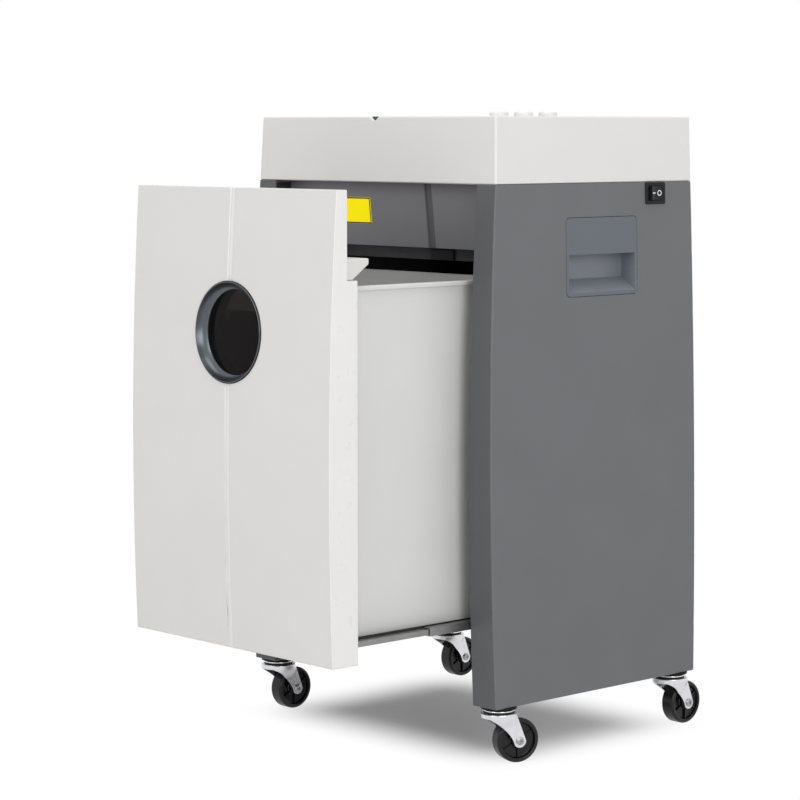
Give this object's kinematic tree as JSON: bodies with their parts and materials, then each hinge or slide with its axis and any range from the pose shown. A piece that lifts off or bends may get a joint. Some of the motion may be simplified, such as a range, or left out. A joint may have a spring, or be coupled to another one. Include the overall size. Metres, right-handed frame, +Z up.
{
  "type": "multimedia shredder",
  "caption": "Free-standing office shredder on swivel casters, with a pull-out bin drawer, cutters, switch, buttons and feed lid.",
  "frame": {"origin": "on the floor under the middle of the cabinet", "axes": "+Z up, -Y to the front where the drawer comes out, +X to the right seen from the front"},
  "size_m": [0.418, 0.5574, 0.7123],
  "materials": {
    "panel_grey": "fine moulded texture, satin",
    "cup_grey": "fine moulded texture, satin",
    "frame_steel": "charcoal powder coat",
    "cover_white": "light warm grey, satin",
    "front_white": "light warm grey, satin",
    "button_white": "light grey, satin gloss",
    "bin_grey": "light grey, satin",
    "fascia_grey": "dark grey, satin",
    "notice_yellow": "yellow film, bare",
    "black_plastic": "black, satin",
    "lid_grey": "dark grey, satin",
    "ring_gunmetal": "dark metallic, gloss",
    "smoked_glass": "smoked, gloss",
    "tray_black": "black powder coat",
    "runner_steel": "black zinc",
    "zinc": "bright zinc plate",
    "stem_black": "black oxide",
    "wheel_rubber": "hard black tread",
    "cutter_steel": "ground and hardened",
    "gear_steel": "machined, oiled",
    "plate_steel": "zinc plated sheet",
    "bronze": "sintered bronze",
    "motor_black": "black enamel",
    "board_green": "solder mask"
  },
  "bodies": {
    "cabinet": {"side_panel_right": "panel_grey", "side_panel_left": "panel_grey", "side_frame_right": "frame_steel", "side_frame_left": "frame_steel", "handle_cup_right": "cup_grey", "handle_cup_left": "cup_grey", "switch_housing": "black_plastic", "rear_panel": "frame_steel", "rear_panel_screws": "zinc", "mains_inlet": "black_plastic", "base_plate": "frame_steel", "top_cover": "cover_white", "button_board": "board_green", "head_fascia": "fascia_grey", "notice_plate": "notice_yellow", "fascia_rail": "frame_steel", "interlock_sensor": "black_plastic", "head_deck": "frame_steel", "cutter_plate_left": "plate_steel", "cutter_plate_right": "plate_steel", "cutter_tie_rods": "plate_steel", "shaft_bushes": "bronze", "stripper_comb_front": "plate_steel", "stripper_comb_rear": "plate_steel", "gearbox": "black_plastic", "motor": "motor_black", "motor_cradle": "plate_steel", "feed_throat": "black_plastic", "control_board": "board_green", "runners_fixed": "runner_steel", "caster_stems": "stem_black"},
    "drawer": {"drawer_front": "front_white", "drawer_backing": "front_white", "drawer_ledge": "front_white", "window_ring": "ring_gunmetal", "window_lens": "smoked_glass", "waste_bin": "bin_grey", "drawer_tray": "tray_black", "runners_drawer": "runner_steel"},
    "middle_runners": {"runners_middle": "runner_steel"},
    "mains_rocker": {"switch_rocker": "black_plastic"},
    "feed_lid": {"feed_lid": "lid_grey"},
    "button_forward": {"button_forward": "button_white"},
    "button_stop": {"button_stop": "button_white"},
    "button_reverse": {"button_reverse": "button_white"},
    "rear_cutter": {"cutter_shaft_rear": "cutter_steel", "cutter_discs_rear": "cutter_steel", "shaft_gear_rear": "gear_steel"},
    "front_cutter": {"cutter_shaft_front": "cutter_steel", "cutter_discs_front": "cutter_steel", "shaft_gear_front": "gear_steel"},
    "motor_pinion": {"motor_pinion": "gear_steel"},
    "caster_fork_front_left": {"caster_fork_front_left": "zinc"},
    "caster_wheel_front_left": {"caster_wheel_front_left": "wheel_rubber"},
    "caster_fork_front_right": {"caster_fork_front_right": "zinc"},
    "caster_wheel_front_right": {"caster_wheel_front_right": "wheel_rubber"},
    "caster_fork_rear_left": {"caster_fork_rear_left": "zinc"},
    "caster_wheel_rear_left": {"caster_wheel_rear_left": "wheel_rubber"},
    "caster_fork_rear_right": {"caster_fork_rear_right": "zinc"},
    "caster_wheel_rear_right": {"caster_wheel_rear_right": "wheel_rubber"}
  },
  "joints": [
    {"name": "drawer_slide", "type": "slide", "parent": "cabinet", "child": "drawer", "axis": [0, -1, 0], "range_m": [-0.201, 0.08]},
    {"name": "middle_runner_slide", "type": "slide", "parent": "cabinet", "child": "middle_runners", "axis": [0, -1, 0], "range_m": [-0.1005, 0.04]},
    {"name": "mains_switch", "type": "hinge", "parent": "cabinet", "child": "mains_rocker", "pos_m": [0.19384, 0.09575, 0.62112], "axis": [-0.0266, 0, 0.9996], "range_deg": [-18, 0]},
    {"name": "feed_lid_hinge", "type": "hinge", "parent": "cabinet", "child": "feed_lid", "pos_m": [0, 0.06375, 0.705], "axis": [-1, 0, 0], "range_deg": [0, 100]},
    {"name": "button_forward_press", "type": "slide", "parent": "cabinet", "child": "button_forward", "axis": [0, 0, -1], "range_m": [0, 0.0025], "stiffness_N_per_m": 400, "springref_m": -0.001},
    {"name": "button_stop_press", "type": "slide", "parent": "cabinet", "child": "button_stop", "axis": [0, 0, -1], "range_m": [0, 0.0025], "stiffness_N_per_m": 400, "springref_m": -0.001},
    {"name": "button_reverse_press", "type": "slide", "parent": "cabinet", "child": "button_reverse", "axis": [0, 0, -1], "range_m": [0, 0.0025], "stiffness_N_per_m": 400, "springref_m": -0.001},
    {"name": "rear_cutter_spin", "type": "hinge", "parent": "cabinet", "child": "rear_cutter", "pos_m": [0, 0.005, 0.61], "axis": [1, 0, 0], "continuous": true},
    {"name": "front_cutter_spin", "type": "hinge", "parent": "cabinet", "child": "front_cutter", "pos_m": [0, -0.045, 0.61], "axis": [1, 0, 0], "continuous": true},
    {"name": "motor_pinion_spin", "type": "hinge", "parent": "cabinet", "child": "motor_pinion", "pos_m": [0, 0.04064, 0.62816], "axis": [1, 0, 0], "continuous": true},
    {"name": "caster_swivel_front_left", "type": "hinge", "parent": "cabinet", "child": "caster_fork_front_left", "pos_m": [-0.187, -0.141, 0.0545], "axis": [0, 0, 1], "continuous": true},
    {"name": "wheel_spin_front_left", "type": "hinge", "parent": "caster_fork_front_left", "child": "caster_wheel_front_left", "pos_m": [-0.187, -0.121, 0.025], "axis": [1, 0, 0], "continuous": true},
    {"name": "caster_swivel_front_right", "type": "hinge", "parent": "cabinet", "child": "caster_fork_front_right", "pos_m": [0.187, -0.141, 0.0545], "axis": [0, 0, 1], "continuous": true},
    {"name": "wheel_spin_front_right", "type": "hinge", "parent": "caster_fork_front_right", "child": "caster_wheel_front_right", "pos_m": [0.19384, -0.12221, 0.025], "axis": [0.9397, -0.342, 0], "continuous": true},
    {"name": "caster_swivel_rear_left", "type": "hinge", "parent": "cabinet", "child": "caster_fork_rear_left", "pos_m": [-0.187, 0.141, 0.0545], "axis": [0, 0, 1], "continuous": true},
    {"name": "wheel_spin_rear_left", "type": "hinge", "parent": "caster_fork_rear_left", "child": "caster_wheel_rear_left", "pos_m": [-0.187, 0.161, 0.025], "axis": [1, 0, 0], "continuous": true},
    {"name": "caster_swivel_rear_right", "type": "hinge", "parent": "cabinet", "child": "caster_fork_rear_right", "pos_m": [0.187, 0.141, 0.0545], "axis": [0, 0, 1], "continuous": true},
    {"name": "wheel_spin_rear_right", "type": "hinge", "parent": "caster_fork_rear_right", "child": "caster_wheel_rear_right", "pos_m": [0.187, 0.161, 0.025], "axis": [1, 0, 0], "continuous": true}
  ],
  "couplings": [
    {"joint": "middle_runner_slide", "follows": "drawer_slide", "ratio": 0.5},
    {"joint": "front_cutter_spin", "follows": "rear_cutter_spin", "ratio": -1},
    {"joint": "motor_pinion_spin", "follows": "rear_cutter_spin", "ratio": -1.6667}
  ]
}
